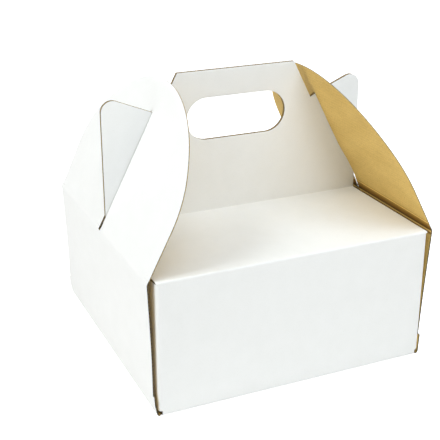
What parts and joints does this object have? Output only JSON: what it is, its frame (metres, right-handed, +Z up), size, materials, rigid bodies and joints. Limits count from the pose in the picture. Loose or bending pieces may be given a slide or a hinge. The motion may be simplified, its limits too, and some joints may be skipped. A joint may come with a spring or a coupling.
{
  "type": "cake box",
  "caption": "Square folding cake box of thin white corrugated board, with a standing double carry handle locked by round, slotted side flaps.",
  "frame": {"origin": "centre of the base, on the surface that the box stands on", "axes": "+X to the right along the handle, +Y from the front wall to the back wall, +Z up"},
  "size_m": [0.2634, 0.25, 0.2509],
  "materials": {
    "white_lined_board": "matte white liner outside",
    "kraft_liner": "uncoated brown kraft liner inside"
  },
  "bodies": {
    "carton": {"carton": "white_lined_board"},
    "left_flap": {"left_flap": "white_lined_board"},
    "right_flap": {"right_flap": "white_lined_board"}
  },
  "joints": [
    {"name": "left_flap_crease", "type": "hinge", "parent": "carton", "child": "left_flap", "pos_m": [-0.13166, 0, 0.1189], "axis": [0, -1, 0], "range_deg": [0, 150]},
    {"name": "right_flap_crease", "type": "hinge", "parent": "carton", "child": "right_flap", "pos_m": [0.13166, 0, 0.1189], "axis": [0, 1, 0], "range_deg": [0, 150]}
  ]
}
